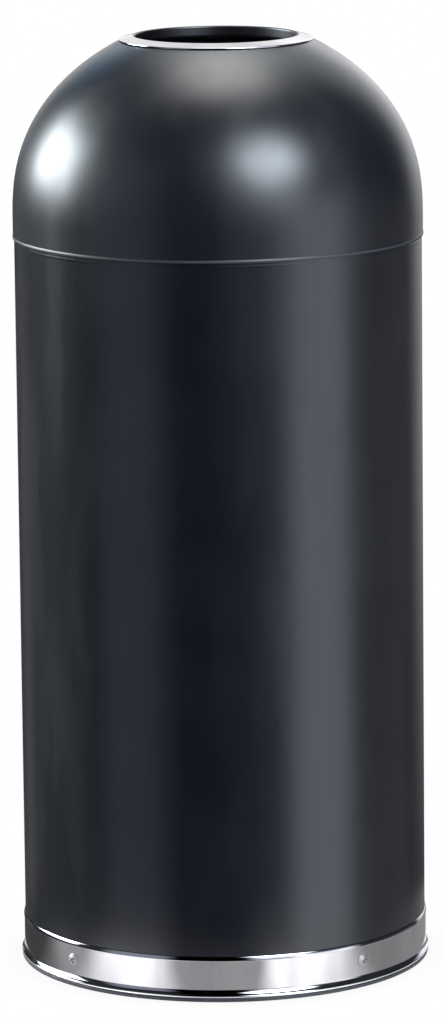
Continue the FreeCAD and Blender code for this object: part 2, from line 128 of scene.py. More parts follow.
def add_node(tree, kind, inputs=None, **properties):
    """New shader node; an input takes a value, or the output of another node to link."""
    made = tree.nodes.new(kind)
    for label, value in properties.items():
        setattr(made, label, value)
    for label, value in (inputs or {}).items():
        if isinstance(value, bpy.types.NodeSocket):
            tree.links.new(value, made.inputs[label])
        else:
            made.inputs[label].default_value = value
    return made


def noise(tree, position, scale, detail=2.0):
    """Value of a layered noise at a position."""
    made = add_node(tree, "ShaderNodeTexNoise", {"Vector": position, "Scale": scale, "Detail": detail})
    return made.outputs[0]


def calculate(tree, operation, first, second=0.0):
    """Result of one operation on two values."""
    return add_node(tree, "ShaderNodeMath", {0: first, 1: second}, operation=operation).outputs[0]


def ranged(tree, value, low, high, to_low=0.0, to_high=1.0):
    """Smooth step of a value from one limit to the other."""
    limits = {"Value": value, "From Min": low, "From Max": high, "To Min": to_low, "To Max": to_high}
    return add_node(tree, "ShaderNodeMapRange", limits, interpolation_type="SMOOTHSTEP").outputs[0]


def blended(tree, factor, first, second):
    """Colour between two others."""
    inputs = {0: factor, 6: first, 7: second}
    return add_node(tree, "ShaderNodeMix", inputs, data_type="RGBA").outputs[2]


def new_effect(name, inputs, outputs):
    """Empty node group with named inputs and outputs."""
    group = bpy.data.node_groups.new(name, "ShaderNodeTree")
    for label, kind in inputs.items():
        group.interface.new_socket(label, in_out="INPUT", socket_type="NodeSocket" + kind)
    for label, kind in outputs.items():
        group.interface.new_socket(label, in_out="OUTPUT", socket_type="NodeSocket" + kind)
    return group, group.nodes.new("NodeGroupInput").outputs, group.nodes.new("NodeGroupOutput").inputs


def use_effect(tree, group, **inputs):
    """Places an effect in a material, with this material's own values."""
    return add_node(tree, "ShaderNodeGroup", inputs, node_tree=group).outputs


def new_finish(name, **plain):
    """Material with its shader, and the object's own coordinates for its patterns. Plain values are set on
    the shader's sockets."""
    material = bpy.data.materials.new(name)
    material.use_nodes = True
    tree = material.node_tree
    shader = tree.nodes["Principled BSDF"]
    for label, value in plain.items():
        shader.inputs[label.replace("_", " ")].default_value = value
    position = add_node(tree, "ShaderNodeTexCoord").outputs["Object"]
    return material, tree, shader.inputs, position


def dent(tree, shader, height, depth):
    """Bump of a depth in metres on a shader's normal."""
    bump = add_node(tree, "ShaderNodeBump", {"Strength": 1.0, "Distance": depth, "Height": height})
    tree.links.new(bump.outputs[0], shader["Normal"])


fine_texture, given, wanted = new_effect(
    "fine_texture",
    {"Position": "Vector", "Grains": "Float", "Patches": "Float"},
    {"Height": "Float", "Patch": "Float"},
)
fine_texture.links.new(noise(fine_texture, given["Position"], given["Grains"]), wanted["Height"])
fine_texture.links.new(noise(fine_texture, given["Position"], given["Patches"], detail=4.0), wanted["Patch"])

vinyl, tree, shader, position = new_finish("black_vinyl", Roughness=0.55, Specular_IOR_Level=0.4)
texture = use_effect(tree, fine_texture, Position=position, Grains=1600.0, Patches=60.0)
scuffed = ranged(tree, texture["Patch"], 0.55, 0.8)
tree.links.new(blended(tree, scuffed, VINYL_BLACK, VINYL_SCUFF), shader["Base Color"])
tree.links.new(ranged(tree, texture["Patch"], 0.3, 0.7, *VINYL_GLOSS), shader["Roughness"])
dent(tree, shader, texture["Height"], VINYL_GRAIN)

low_round = (RING_OUTSIDE - RING_ROUND, RING_ROUND)
high_round = (RING_OUTSIDE - RING_ROUND, RING_HEIGHT - RING_ROUND)
profile = outline(
    arc((RING_INSIDE + RING_CORNER, RING_CORNER), RING_CORNER, 180, 270, count=5),
    arc(low_round, RING_ROUND, -90, 0),
    arc(high_round, RING_ROUND, 0, 90),
    (UPSTAND_OUTSIDE, RING_HEIGHT),
    arc((UPSTAND_OUTSIDE - UPSTAND_ROUND, UPSTAND_TOP - UPSTAND_ROUND), UPSTAND_ROUND, 0, 90, count=6),
    arc((RING_INSIDE + UPSTAND_ROUND, UPSTAND_TOP - UPSTAND_ROUND), UPSTAND_ROUND, 90, 180, count=6),
)
add_piece(turned("vinyl_floor_ring", *profile.T), vinyl, "body", "floor_ring")

# Body shell. One sheet of steel rolled to a cylinder, lapped and welded down the back, its top edge curled
# in and a small stop bead rolled under the dome's edge, then powder coated satin black.

BODY_OUTSIDE = 190.5
BODY_SHEET = 0.8
BODY_BOTTOM = 3.7
SHEET_EDGE = 0.2
BEAD_LOW = 684.0
BEAD_HIGH = 687.4
BEAD_PROUD = 0.1
CURL_CENTER = (187.3, 696.8)
CURL_RADIUS = 3.2
WELD_DEPTH = 0.3
WELD_LOW = 43.0
WELD_HIGH = 683.5
LAP_LOW = 36.0
RUN_OUT = 1.5
GROOVE_HALF = (0.3, 0.5)
LAP_HALF = (6.8, 7.2)
WELD_COLUMNS = (0.15, *GROOVE_HALF, 0.8, 6.4, *LAP_HALF, 7.6)
WELD_TURN = 2.6
ON_FACE = 0.01
REAR = 90
PAINT_BLACK = (0.0057, 0.0065, 0.0105, 1)
PAINT_WORN = (0.0085, 0.0093, 0.0132, 1)
PAINT_DUST = (0.06, 0.06, 0.058, 1)
# Pale colour of the hem's band: a painted highlight line.
PAINT_HEM_HIGHLIGHT = (0.032, 0.0335, 0.038, 1)
PAINT_PEEL = 0.000028
WIPE_STRETCH = (1.0, 1.0, 0.22)
WIPED_GLOSS = (-0.015, 0.025)
HIGHLIGHT_BAND_SOFTNESS = 0.0006
HIGHLIGHT_BAND_DULL = 0.22
DUST_DULL = 0.2


def bead(radius, low, high, proud, count=17):
    """Rolled bead in a wall: the radius grows by a raised cosine between two heights."""
    part = np.linspace(-1, 1, count)
    swell = proud * (0.5 + 0.5 * np.cos(np.pi * part))
    return np.column_stack((radius + swell, (low + high) / 2 + part * (high - low) / 2))


def weld_run(height, low):
    """Share of a weld at a height: one between its ends, falling to zero over the run-out at each."""
    return np.interp(height, (low, low + RUN_OUT, WELD_HIGH - RUN_OUT, WELD_HIGH), (0, 1, 1, 0))


settled_dust, given, wanted = new_effect(
    "settled_dust", {"Position": "Vector", "Amount": "Float"}, {"Dust": "Float"}
)
facing = add_node(settled_dust, "ShaderNodeNewGeometry").outputs["Normal"]
upward = add_node(settled_dust, "ShaderNodeSeparateXYZ", {0: facing}).outputs["Z"]
lying = ranged(settled_dust, upward, 0.35, 1.0)
specks = ranged(settled_dust, noise(settled_dust, given["Position"], scale=900.0, detail=3.0), 0.42, 0.78)
drift = ranged(settled_dust, noise(settled_dust, given["Position"], scale=16.0, detail=3.0), 0.3, 0.75)
speckled = calculate(settled_dust, "MULTIPLY", calculate(settled_dust, "MULTIPLY", lying, specks), drift)
settled_dust.links.new(calculate(settled_dust, "MULTIPLY", speckled, given["Amount"]), wanted["Dust"])

wipe_marks, given, wanted = new_effect(
    "wipe_marks", {"Position": "Vector", "Scale": "Float"}, {"Mark": "Float"}
)
drawn = add_node(
    wipe_marks, "ShaderNodeVectorMath", {0: given["Position"], 1: WIPE_STRETCH}, operation="MULTIPLY"
)
streaks = noise(wipe_marks, drawn.outputs[0], given["Scale"], detail=5.0)
wipe_marks.links.new(ranged(wipe_marks, streaks, 0.38, 0.72), wanted["Mark"])


def painted_finish(name, roughness, dust, highlight_band=None):
    """Satin black powder coat: a little orange peel, faint wipe marks in the gloss, and dust where it lies
    flat. Between the two heights of a highlight band, in metres, the coat is painted pale as a highlight
    line, and is dull."""
    paint, tree, shader, position = new_finish(name, Specular_IOR_Level=0.75)
    texture = use_effect(tree, fine_texture, Position=position, Grains=420.0, Patches=11.0)
    marks = use_effect(tree, wipe_marks, Position=position, Scale=26.0)["Mark"]
    dusty = use_effect(tree, settled_dust, Position=position, Amount=dust)["Dust"]
    coat = blended(tree, ranged(tree, texture["Patch"], 0.35, 0.7), PAINT_BLACK, PAINT_WORN)
    gloss = ranged(tree, marks, 0.0, 1.0, roughness + WIPED_GLOSS[0], roughness + WIPED_GLOSS[1])
    # Painted highlight: a pale band at the hem stands in for the light line along its crest, and the gloss is
    # duller there.
    if highlight_band:
        height = add_node(tree, "ShaderNodeSeparateXYZ", {0: position}).outputs["Z"]
        above = ranged(tree, height, highlight_band[0] - HIGHLIGHT_BAND_SOFTNESS, highlight_band[0] + HIGHLIGHT_BAND_SOFTNESS)
        below = ranged(tree, height, highlight_band[1] + HIGHLIGHT_BAND_SOFTNESS, highlight_band[1] - HIGHLIGHT_BAND_SOFTNESS)
        edge = calculate(tree, "MULTIPLY", above, below)
        coat = blended(tree, edge, coat, PAINT_HEM_HIGHLIGHT)
        gloss = calculate(tree, "ADD", gloss, calculate(tree, "MULTIPLY", edge, HIGHLIGHT_BAND_DULL))
    tree.links.new(blended(tree, dusty, coat, PAINT_DUST), shader["Base Color"])
    gloss = calculate(tree, "ADD", gloss, calculate(tree, "MULTIPLY", dusty, DUST_DULL))
    tree.links.new(gloss, shader["Roughness"])
    dent(tree, shader, texture["Height"], PAINT_PEEL)
    return paint


inside = BODY_OUTSIDE - BODY_SHEET
profile = outline(
    arc((inside + SHEET_EDGE, BODY_BOTTOM + SHEET_EDGE), SHEET_EDGE, 180, 270, count=4),
    arc((BODY_OUTSIDE - SHEET_EDGE, BODY_BOTTOM + SHEET_EDGE), SHEET_EDGE, -90, 0, count=4),
    (BODY_OUTSIDE, WELD_LOW),
    (BODY_OUTSIDE, WELD_LOW + RUN_OUT),
    (BODY_OUTSIDE, WELD_HIGH - RUN_OUT),
    (BODY_OUTSIDE, WELD_HIGH),
    bead(BODY_OUTSIDE, BEAD_LOW, BEAD_HIGH, BEAD_PROUD),
    arc(CURL_CENTER, CURL_RADIUS, 0, 270, count=37),
    arc(CURL_CENTER, CURL_RADIUS - BODY_SHEET, 270, 0, count=37),
    bead(inside, BEAD_LOW, BEAD_HIGH, BEAD_PROUD)[::-1],
    (inside, WELD_HIGH),
    (inside, WELD_HIGH - RUN_OUT),
    (inside, LAP_LOW + RUN_OUT),
    (inside, LAP_LOW),
)
radius, height = profile.T
across = np.array(WELD_COLUMNS)
beside_weld = np.degrees(np.concatenate((-across[::-1], (0.0,), across)) / BODY_OUTSIDE)
away_from_weld = FULL_TURN[np.abs(FULL_TURN - REAR) > WELD_TURN]
degrees = np.unique(np.concatenate((away_from_weld, REAR + beside_weld)))
from_weld = np.abs(np.radians(degrees - REAR)) * BODY_OUTSIDE
groove = np.interp(from_weld, GROOVE_HALF, (1, 0))
lap = np.interp(from_weld, LAP_HALF, (1, 0))
groove_run = weld_run(height, WELD_LOW) * (radius > BODY_OUTSIDE - ON_FACE)
lap_run = weld_run(height, LAP_LOW) * (np.abs(radius - inside) < ON_FACE)
radius = radius - WELD_DEPTH * np.outer(groove, groove_run) - BODY_SHEET * np.outer(lap, lap_run)
body_paint = painted_finish("body_powder_coat", roughness=0.287, dust=0.02)
add_piece(turned("painted_body", radius, height, degrees), body_paint, "body", "body_shell")

# Base ring. A steel band with a rolled top bead and a flared foot, butt joined at the back, polished and
# chrome plated. It slips round the body's foot and is held by four screws.

BAND_INSIDE = 190.55
BAND_OUTSIDE = 191.45
BAND_LOW = 11.875
BAND_HIGH = 38.176
BAND_BEAD = 4.4
BAND_BEAD_PROUD = 0.5
BAND_CREST = 0.7
BEAD_FACE = (6, 20)
BEAD_FACE_TOP = 4.0
BEAD_EDGE = 0.3
COVE_RADIUS = 7.7
LIP_CENTER = (192.574, 5.3)
LIP_RADIUS = 1.6
FLARE = 45
CHROME_BRIGHT = (0.665, 0.652, 0.685, 1)
CHROME_DULL = (0.565, 0.553, 0.585, 1)
# Dark plate colour for the throat: painted shade.
CHROME_THROAT_SHADE = (0.095, 0.095, 0.1, 1)
CHROME_LINES = 0.0000012
UPRIGHT_LINES = 1.7
SMEAR_DULL = 0.05
THROAT_DULL = 0.3


def oval(center, half_sizes, first, last, count=16):
    """Points on an oval: the center plus each half size times the cosine or the sine of even angles, in
    degrees."""
    turn = np.radians(np.linspace(first, last, count))
    return np.array(center) + np.array(half_sizes) * np.column_stack((np.cos(turn), np.sin(turn)))


def from_axis(tree, position):
    """Position with its height taken off, and its distance from the can's axis."""
    inputs = {0: position, 1: (1.0, 1.0, 0.0)}
    level = add_node(tree, "ShaderNodeVectorMath", inputs, operation="MULTIPLY").outputs[0]
    return level, add_node(tree, "ShaderNodeVectorMath", {0: level}, operation="LENGTH").outputs["Value"]


ring_marks, given, wanted = new_effect(
    "ring_marks", {"Position": "Vector", "Lines": "Float", "Sweep": "Float"}, {"Height": "Float"}
)
flat_place, radial = from_axis(ring_marks, given["Position"])
round_place = add_node(ring_marks, "ShaderNodeVectorMath", {0: flat_place}, operation="NORMALIZE").outputs[0]
swept = add_node(
    ring_marks, "ShaderNodeVectorMath", {0: round_place, "Scale": given["Sweep"]}, operation="SCALE"
).outputs[0]
upright = add_node(ring_marks, "ShaderNodeSeparateXYZ", {0: given["Position"]}).outputs["Z"]
along = calculate(ring_marks, "ADD", radial, calculate(ring_marks, "MULTIPLY", upright, UPRIGHT_LINES))
line_place = calculate(ring_marks, "MULTIPLY", along, given["Lines"])
lined = add_node(ring_marks, "ShaderNodeCombineXYZ", {"Z": line_place}).outputs[0]
place = add_node(ring_marks, "ShaderNodeVectorMath", {0: swept, 1: lined}, operation="ADD").outputs[0]
ring_marks.links.new(noise(ring_marks, place, scale=1.0, detail=3.0), wanted["Height"])


def chromed_finish(name, lines, roughness, throat=None, plates=(CHROME_BRIGHT, CHROME_DULL)):
    """Bright chrome plate: fine polishing lines round the piece, and faint smears that dull it a little. In
    a throat, which has two radii in metres, where the change starts and ends, it is darkened as painted shade
    and is satin."""
    chrome, tree, shader, position = new_finish(name, Metallic=1.0)
    polish = use_effect(tree, ring_marks, Position=position, Lines=lines, Sweep=14.0)["Height"]
    smear = use_effect(tree, wipe_marks, Position=position, Scale=34.0)["Mark"]
    plate = blended(tree, smear, *plates)
    gloss = ranged(tree, smear, 0.0, 1.0, roughness, roughness + SMEAR_DULL)
    # Painted shade: inside the throat the plate is darkened, and it is made satin.
    if throat:
        apart = from_axis(tree, position)[1]
        within = ranged(tree, apart, *throat)
        plate = blended(tree, within, plate, CHROME_THROAT_SHADE)
        gloss = calculate(tree, "ADD", gloss, calculate(tree, "MULTIPLY", within, THROAT_DULL))
    tree.links.new(plate, shader["Base Color"])
    tree.links.new(gloss, shader["Roughness"])
    dent(tree, shader, polish, CHROME_LINES)
    return chrome


cove_center = (BAND_OUTSIDE + COVE_RADIUS, BAND_LOW)
under_crest = oval((BAND_OUTSIDE, BAND_HIGH + BAND_CREST), (BAND_BEAD_PROUD, BAND_CREST), -90, 0)
low_lean, high_lean = np.radians(BEAD_FACE)
face_radius = (BEAD_FACE_TOP - BAND_CREST) / (math.sin(high_lean) - math.sin(low_lean))
face_center = (
    BAND_OUTSIDE + BAND_BEAD_PROUD - face_radius * math.cos(low_lean),
    BAND_HIGH + BAND_CREST - face_radius * math.sin(low_lean),
)
profile = outline(
    (BAND_INSIDE, BODY_BOTTOM),
    arc(LIP_CENTER, LIP_RADIUS, -90, FLARE, count=16),
    arc(cove_center, COVE_RADIUS, 180 + FLARE, 180, count=24)[1:],
    under_crest,
    arc(face_center, face_radius, *BEAD_FACE),
    (BAND_INSIDE + BEAD_EDGE, BAND_HIGH + BAND_BEAD),
    (BAND_INSIDE, BAND_HIGH + BEAD_FACE_TOP),
)
band_chrome = chromed_finish("band_chrome", lines=2600.0, roughness=0.05)
add_piece(turned("chromed_base_ring", *profile.T), band_chrome, "body", "base_ring")

# Bottom pan. A pressed steel dish that closes the body, its flange turned down behind the base ring where
# the screws clamp it, painted with the body.

PAN_OUTSIDE = 189.6
PAN_TOP = 34.876
PAN_SHEET = 0.8
PAN_BEND = 4.0
FLANGE_LOW = 8.8

bend_center = (PAN_OUTSIDE - PAN_BEND, PAN_TOP - PAN_BEND)
profile = outline(
    (0, PAN_TOP - PAN_SHEET),
    arc(bend_center, PAN_BEND - PAN_SHEET, 90, 0),
    (PAN_OUTSIDE - PAN_SHEET, FLANGE_LOW),
    (PAN_OUTSIDE, FLANGE_LOW),
    arc(bend_center, PAN_BEND, 0, 90),
    (0, PAN_TOP),
)
pan_paint = painted_finish("pan_powder_coat", roughness=0.36, dust=0.05)
pan = turned("painted_bottom_pan", *profile.T, closed=False)
add_piece(pan, pan_paint, "body", "bottom_pan")

# Base screws. Four chromed truss-head machine screws with cross recesses, through the base ring, the body
# and the pan's flange.

SCREW_TURNS = (45, 135, 225, 315)
SCREW_DRIVEN = (14, 63, 38, 81)
SCREW_HEIGHT = 24.876
SCREW_SEAT = 191.5
SCREW_STEPS = 120
HEAD_RADIUS = 6.2
HEAD_HEIGHT = 2.6
HEAD_EDGE = (0.1, 0.08)
FINE_CAP = 3.6
COARSE_CAP = 3.75
CAP_STEPS = (34, 14)
SHANK_RADIUS = 2.0
SHANK_LENGTH = 8.05
SHANK_NECK = 0.2
SHANK_TIP = 0.4
SHANK_STEPS = 92
THREAD_PITCH = 0.7
THREAD_DEPTH = 0.22
THREAD_START = 0.6
THREAD_FULL = 1.6
RECESS_HALF = 3.0
RECESS_SIDE = 0.65
RECESS_FLOOR = 1.1
RECESS_SLOPE = 0.25
SLOT_EDGE = 0.1
SCREW_BRIGHT = (0.4, 0.388, 0.394, 1)
SCREW_DULL = (0.325, 0.315, 0.32, 1)

ball = (HEAD_RADIUS**2 + HEAD_HEIGHT**2) / (2 * HEAD_HEIGHT)
fine_cap = np.linspace(0, FINE_CAP, CAP_STEPS[0])
cap = np.concatenate((fine_cap, np.linspace(COARSE_CAP, HEAD_RADIUS - HEAD_EDGE[0] / 2, CAP_STEPS[1])))
shank = np.linspace(-SHANK_NECK, SHANK_TIP - SHANK_LENGTH, SHANK_STEPS)
radius = np.concatenate((
    cap,
    (HEAD_RADIUS, HEAD_RADIUS - HEAD_EDGE[0], SHANK_RADIUS),
    np.full(len(shank), SHANK_RADIUS),
    (SHANK_RADIUS - SHANK_TIP, 0),
))
height = np.concatenate((
    np.sqrt(ball**2 - cap**2) - ball + HEAD_HEIGHT,
    (HEAD_EDGE[1], 0, 0),
    shank,
    (-SHANK_LENGTH, -SHANK_LENGTH),
))
degrees = np.linspace(0, 360, SCREW_STEPS, endpoint=False)
turn = np.radians(degrees)[:, None]
thread_ends = (-SHANK_LENGTH, THREAD_START - SHANK_LENGTH, -THREAD_FULL, -THREAD_START)
cut = np.interp(height, thread_ends, (0, 1, 1, 0))
thread = THREAD_DEPTH * (0.5 + 0.5 * np.cos(2 * np.pi * height / THREAD_PITCH - turn)) * cut
screw_radius = radius - thread
side_x = np.abs(screw_radius * np.cos(turn))
side_y = np.abs(screw_radius * np.sin(turn))


def slot_share(length, width):
    """Share of a recess arm at a point of the head: one inside its length and width, falling to zero over
    its edge."""
    inside_length = np.clip((RECESS_HALF - length) / SLOT_EDGE, 0, 1)
    return inside_length * np.clip((RECESS_SIDE - width) / SLOT_EDGE, 0, 1)


on_cap = np.arange(len(height)) < len(cap)
recess = np.maximum(slot_share(side_x, side_y), slot_share(side_y, side_x)) * on_cap
screw_height = height + recess * (RECESS_FLOOR + RECESS_SLOPE * radius / RECESS_HALF - height)
place = np.radians(SCREW_TURNS)[:, None, None]
spun = turn + np.radians(SCREW_DRIVEN)[:, None, None]
outward = SCREW_SEAT + screw_height
sideways = screw_radius * np.cos(spun)
points = np.stack(
    (
        outward * np.cos(place) - sideways * np.sin(place),
        outward * np.sin(place) + sideways * np.cos(place),
        SCREW_HEIGHT + screw_radius * np.sin(spun),
    ),
    axis=-1,
)
one_screw = faces_of_grid(len(degrees), len(height), False)
faces = (one_screw + (np.arange(len(SCREW_TURNS)) * screw_radius.size)[:, None, None]).reshape(-1, 4)
screw_plates = (SCREW_BRIGHT, SCREW_DULL)
screw_chrome = chromed_finish("screw_chrome", lines=900.0, roughness=0.62, plates=screw_plates)
screws = surface("chromed_screws", points, faces)
add_piece(screws, screw_chrome, "body", "base_screws")

# Base washers and nuts. Stamped flat washers and cold-formed hexagon nuts in bright zinc plate, drawn up
# behind the pan's flange. Their CAD shapes are right and stay.

ZINC_BRIGHT = (0.58, 0.59, 0.6, 1)
ZINC_WARM = (0.5, 0.49, 0.46, 1)
ZINC_GLOSS = (-0.06, 0.08)
ZINC_GRAIN = 0.00001


def zinc_finish(name, grains, roughness):
    """Bright zinc plate: fine forming marks, and a passivated film that shifts between cool and warm."""
    zinc, tree, shader, position = new_finish(name, Metallic=1.0)
    texture = use_effect(tree, fine_texture, Position=position, Grains=grains, Patches=90.0)
    film = ranged(tree, texture["Patch"], 0.4, 0.75)
    tree.links.new(blended(tree, film, ZINC_BRIGHT, ZINC_WARM), shader["Base Color"])
    gloss = ranged(tree, texture["Patch"], 0.3, 0.7, roughness + ZINC_GLOSS[0], roughness + ZINC_GLOSS[1])
    tree.links.new(gloss, shader["Roughness"])
    dent(tree, shader, texture["Height"], ZINC_GRAIN)
    return zinc


def dress(node, material):
    """Gives a CAD node that stays its finish."""
    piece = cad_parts[node]
    piece.data.materials.clear()
    piece.data.materials.append(material)


fastener_zinc = zinc_finish("fastener_zinc", grains=1500.0, roughness=0.3)
dress("base_washers", fastener_zinc)
dress("base_nuts", fastener_zinc)

# Liner wall. A tapered pail of hot-dip galvanised sheet, its top edge rolled over a wire. It hangs by that
# rim on the body's curl and is lifted out to be emptied.

LINER_FOOT = 171.4
LINER_LOW = 39.876
LINER_SHEET = 0.6
ROLL_CENTER = (186.0, 703.373)
ROLL_RADIUS = 3.2
SPANGLE_PALE = (0.62, 0.64, 0.66, 1)
SPANGLE_GREY = (0.4, 0.42, 0.445, 1)
SPANGLE_GLOSS = (0.34, 0.52)
SPANGLE_GRAIN = 0.00002
FILM_SHARE = 0.6


def galvanised_finish(name):
    """Hot-dip galvanising: flat zinc crystals about 12 mm across, each with its own grey and gloss, and a
    dull film over them."""
    zinc, tree, shader, position = new_finish(name, Metallic=1.0)
    crystals = add_node(tree, "ShaderNodeTexVoronoi", {"Vector": position, "Scale": 85.0, "Randomness": 1.0})
    crystal = add_node(tree, "ShaderNodeSeparateColor", {0: crystals.outputs["Color"]}).outputs[0]
    texture = use_effect(tree, fine_texture, Position=position, Grains=700.0, Patches=24.0)
    film = calculate(tree, "MULTIPLY", ranged(tree, texture["Patch"], 0.35, 0.75), FILM_SHARE)
    bright = calculate(tree, "SUBTRACT", crystal, film)
    tree.links.new(blended(tree, bright, SPANGLE_GREY, SPANGLE_PALE), shader["Base Color"])
    tree.links.new(ranged(tree, crystal, 0.0, 1.0, *SPANGLE_GLOSS), shader["Roughness"])
    dent(tree, shader, texture["Height"], SPANGLE_GRAIN)
    return zinc


profile = outline(
    (LINER_FOOT, LINER_LOW),
    (LINER_FOOT + LINER_SHEET, LINER_LOW),
    arc(ROLL_CENTER, ROLL_RADIUS - LINER_SHEET, 180, -90, count=37),
    arc(ROLL_CENTER, ROLL_RADIUS, -90, 180, count=37),
)
liner_zinc = galvanised_finish("liner_galvanising")
add_piece(turned("galvanised_wall", *profile.T), liner_zinc, "liner", "liner_wall")

# Liner bottom. A flat disc of the same galvanised sheet. Its flange is turned down and seamed inside the
# foot of the wall.

FLOOR_TOP = 46.876
FLOOR_EDGE = 171.37
FLANGE_EDGE = 171.25
FLOOR_ROUND = 0.5

profile = outline(
    (0, FLOOR_TOP - LINER_SHEET),
    (FLOOR_EDGE - LINER_SHEET, FLOOR_TOP - LINER_SHEET),
    (FLANGE_EDGE - LINER_SHEET, LINER_LOW),
    (FLANGE_EDGE, LINER_LOW),
    arc((FLOOR_EDGE - FLOOR_ROUND, FLOOR_TOP - FLOOR_ROUND), FLOOR_ROUND, 0, 90, count=5),
    (0, FLOOR_TOP),
)
floor_zinc = galvanised_finish("liner_floor_galvanising")
liner_floor = turned("galvanised_floor", *profile.T, closed=False)
add_piece(liner_floor, floor_zinc, "liner", "liner_bottom")

# Rim wire, handle clips and rivets. The wire stiffens the liner's roll, the clips are bent straps that carry
# the handles, and four rivets fix them. All are zinc plated steel, and their CAD shapes stay.

strap_zinc = zinc_finish("strap_zinc", grains=1100.0, roughness=0.34)
dress("liner_rim_wire", strap_zinc)
dress("handle_clip_right", strap_zinc)
dress("handle_clip_left", strap_zinc)
dress("clip_rivets", fastener_zinc)

# Drop handles. Two closed loops of 5 mm round wire, bent and butt welded, hanging in their clips inside the
# liner's wall.

HANDLE_X = 172.13
HANDLE_TOP = 660.573
HANDLE_LOW = 605.073
HANDLE_HALF = 39.5
HANDLE_BEND = 16.0
BEND_STEPS = 16
WIRE_RADIUS = 2.5
WIRE_STEPS = 24

middle = (HANDLE_TOP + HANDLE_LOW) / 2
bend_y = HANDLE_HALF - HANDLE_BEND
bend_z = (HANDLE_TOP - HANDLE_LOW) / 2 - HANDLE_BEND
corners = ((bend_y, bend_z, 0), (-bend_y, bend_z, 90), (-bend_y, -bend_z, 180), (bend_y, -bend_z, 270))
facing_out = np.concatenate([np.linspace(start, start + 90, BEND_STEPS) for _, _, start in corners])
bend_centers = np.repeat(np.array([corner[:2] for corner in corners]), BEND_STEPS, axis=0)


def wire_loop(name, side):
    """Round wire along a rounded rectangle: each point is a bend's center, plus the bend radius and the
    wire's own circle along the direction that faces out of the loop and along x."""
    out = np.radians(facing_out)[:, None]
    around = np.radians(np.linspace(0, 360, WIRE_STEPS, endpoint=False))
    reach = HANDLE_BEND + WIRE_RADIUS * np.cos(around)
    points = np.stack(
        (
            np.broadcast_to(side * HANDLE_X + WIRE_RADIUS * np.sin(around), (len(out), len(around))),
            bend_centers[:, :1] + reach * np.cos(out),
            middle + bend_centers[:, 1:] + reach * np.sin(out),
        ),
        axis=-1,
    )
    return surface(name, points, faces_of_grid(len(out), len(around), True))


wire_zinc = zinc_finish("wire_zinc", grains=1300.0, roughness=0.28)
for name, side in (("right", 1), ("left", -1)):
    loop = wire_loop("wire_handle_" + name, side)
    add_piece(loop, wire_zinc, "handle_" + name, "handle_" + name)

# Dome shell. Spun from one steel disc, with a round hole at the top, a straight skirt that slips over the
# body's neck and a rolled hem, powder coated with the body.

DOME_OUTSIDE = 191.6
DOME_SHEET = 0.8
SHOULDER_LOW = 708.1
SHOULDER_RISE = 188.315
ROUNDING = (1.645, 2.388)
CROWDING = 1.35
SEAT_RADIUS = 89.0
SEAT_HEIGHT = 871.9
OPENING_RADIUS = 79.0
SEAT_LIFT = 2.126
HEM_LOW = 688.8
HEM_HEIGHT = 3.4
HEM_PROUD = 0.5
HEM_CORNER = 0.3
HEM_ROUND = 0.55
HEM_INSET = 0.1
HEM_CUT = 0.4
HEM_STEPS = 19
HEM_FIRST = 6
# Heights in metres of the hem's pale band, a painted highlight line.
HEM_HIGHLIGHT_BAND = (0.6892, 0.6914)


def meridian(radius, rise, count):
    """Outline from the skirt's top to the ring's seat: the share of the radius and the share of the rise,
    each raised to its own power, always add up to one. The steps follow a sine and crowd towards the seat."""
    across, upward = ROUNDING
    seat = (1 - (SEAT_RADIUS / radius) ** across) ** (1 / upward)
    share = seat * np.sin(np.linspace(0, CROWDING, count)) / np.sin(CROWDING)
    return np.column_stack((radius * (1 - share**upward) ** (1 / across), SHOULDER_LOW + rise * share))


skirt_inside = DOME_OUTSIDE - DOME_SHEET
under_dome = meridian(skirt_inside, SHOULDER_RISE - DOME_SHEET, count=84)[::-1]
seat_under = under_dome[0, 1]
profile = outline(
    arc((skirt_inside + HEM_CORNER, HEM_LOW + HEM_CORNER), HEM_CORNER, 180, 270, count=5),
    arc((DOME_OUTSIDE - HEM_INSET, HEM_LOW + HEM_ROUND), HEM_ROUND, -90, -30, count=5),
    bead(DOME_OUTSIDE, HEM_LOW - HEM_CUT, HEM_LOW + HEM_HEIGHT, HEM_PROUD, count=HEM_STEPS)[HEM_FIRST:],
    meridian(DOME_OUTSIDE, SHOULDER_RISE, count=132),
    (OPENING_RADIUS, SEAT_HEIGHT + SEAT_LIFT),
    (OPENING_RADIUS, seat_under + SEAT_LIFT),
    under_dome,
    straight_from=5.0,
)
dome_paint = painted_finish("dome_powder_coat", roughness=0.333, dust=0.04, highlight_band=HEM_HIGHLIGHT_BAND)
add_piece(turned("painted_dome", *profile.T), dome_paint, "dome", "dome_shell")

# Dome stop ring. An angle ring rolled from strip and spot welded inside the skirt, so that the dome rests on
# the liner's rim. It is painted with the dome.

STOP_INSIDE = 184.0
STOP_OUTSIDE = 190.6
STOP_LOW = 706.873
STOP_HIGH = 720.473
STOP_SHEET = 0.8
STOP_BEND = 1.2

inner_bend = STOP_BEND - STOP_SHEET
bend_center = (STOP_OUTSIDE - STOP_BEND, STOP_LOW + STOP_BEND)
profile = outline(
    (STOP_INSIDE, STOP_LOW),
    arc(bend_center, STOP_BEND, -90, 0, count=8),
    (STOP_OUTSIDE, STOP_HIGH),
    (STOP_OUTSIDE - STOP_SHEET, STOP_HIGH),
    arc(bend_center, inner_bend, 0, -90, count=6),
    (STOP_INSIDE, STOP_LOW + STOP_SHEET),
)
stop_paint = painted_finish("stop_ring_powder_coat", roughness=0.36, dust=0.03)
add_piece(turned("painted_stop_ring", *profile.T), stop_paint, "dome", "dome_stop_ring")

# Mouth ring. A chromed trim ring, spun with a sloping flange and rolled through the dome's hole like an
# eyelet, its tail curled up against the underside of the dome.

